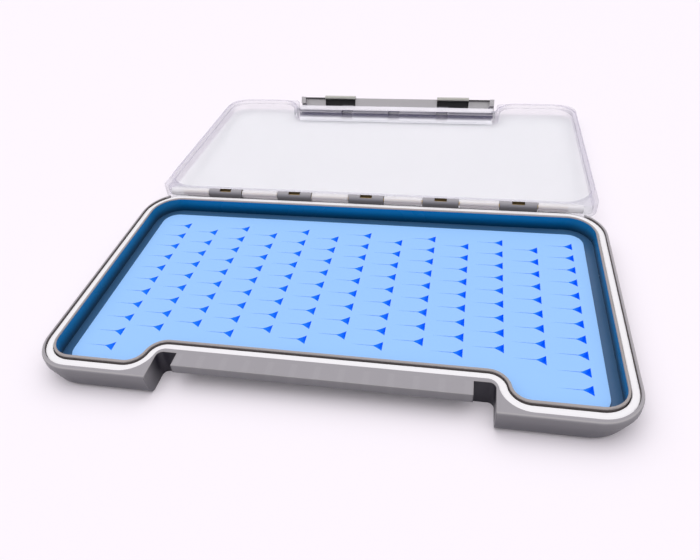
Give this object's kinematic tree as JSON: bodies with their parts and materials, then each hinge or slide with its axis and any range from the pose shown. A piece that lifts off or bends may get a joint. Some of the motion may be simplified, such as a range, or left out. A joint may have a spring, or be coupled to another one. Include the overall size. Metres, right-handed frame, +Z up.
{
  "type": "fly box",
  "caption": "Slim waterproof fly box: grey tray with a slit silicone pad and a gasket, and a clear lid on a pin hinge with a snap latch, standing open.",
  "frame": {"origin": "middle of the tray's flat underside", "axes": "+X along the hinge to the right, +Y from the front to the back where the open lid lies, +Z up"},
  "size_m": [0.188, 0.2088, 0.0115],
  "materials": {
    "tray_plastic": "satin",
    "gasket_silicone": "matte",
    "pad_silicone": "satin",
    "adhesive_film": "matte",
    "pin_brass": "satin",
    "clear_plastic": "gloss",
    "pin_steel": "satin",
    "latch_plastic": "satin"
  },
  "bodies": {
    "base": {"tray": "tray_plastic", "gasket": "gasket_silicone", "slit_pad": "pad_silicone", "pad_adhesive": "adhesive_film", "hinge_pin": "pin_brass"},
    "lid": {"lid": "clear_plastic", "latch_pin": "pin_steel"},
    "latch": {"latch": "latch_plastic"}
  },
  "joints": [
    {"name": "lid_hinge", "type": "hinge", "parent": "base", "child": "lid", "pos_m": [0, 0.052, 0.0096], "axis": [1, 0, 0], "range_deg": [0, 182]},
    {"name": "latch_hinge", "type": "hinge", "parent": "lid", "child": "latch", "pos_m": [0, 0.14842, 0.00283], "axis": [-1, 0, 0], "range_deg": [-34, 11]}
  ]
}
